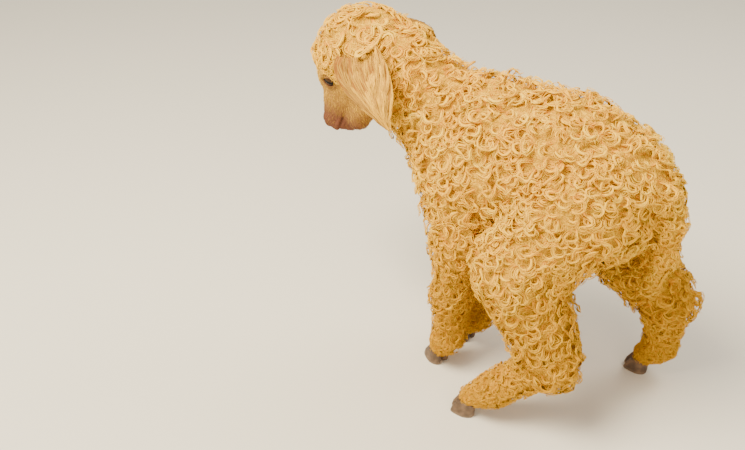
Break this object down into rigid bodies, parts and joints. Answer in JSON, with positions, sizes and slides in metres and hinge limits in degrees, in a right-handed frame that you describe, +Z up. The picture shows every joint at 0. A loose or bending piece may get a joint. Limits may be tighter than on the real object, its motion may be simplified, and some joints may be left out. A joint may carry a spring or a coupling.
{
  "type": "angora goat kid figure",
  "caption": "Life-size standing Angora goat kid with a curly coat, head held down and lop ears, as a still display model resting on its hooves.",
  "frame": {"origin": "on the floor, under the middle of the bounding box of the whole figure", "axes": "+Z up; -Y the way the body faces; +X the animal's left side"},
  "size_m": [0.2696, 0.526, 0.4462],
  "materials": {
    "coat": "curly cream fleece, matte",
    "ear_skin": "apricot skin under fine short hair",
    "eye": "wet gloss, near black",
    "claw": "dull brown horn"
  },
  "bodies": {
    "root": {"head": "coat", "neck": "coat", "torso": "coat", "tail": "coat", "ear_left": "ear_skin", "ear_right": "ear_skin", "eye_left": "eye", "eye_right": "eye", "foreleg_left_upper": "coat", "foreleg_left_lower": "coat", "foreleg_right_upper": "coat", "foreleg_right_lower": "coat", "hindleg_left_upper": "coat", "hindleg_left_lower": "coat", "hindleg_right_upper": "coat", "hindleg_right_lower": "coat", "fore_left_left_claw": "claw", "fore_left_right_claw": "claw", "fore_right_left_claw": "claw", "fore_right_right_claw": "claw", "hind_left_left_claw": "claw", "hind_left_right_claw": "claw", "hind_right_left_claw": "claw", "hind_right_right_claw": "claw"}
  },
  "joints": []
}
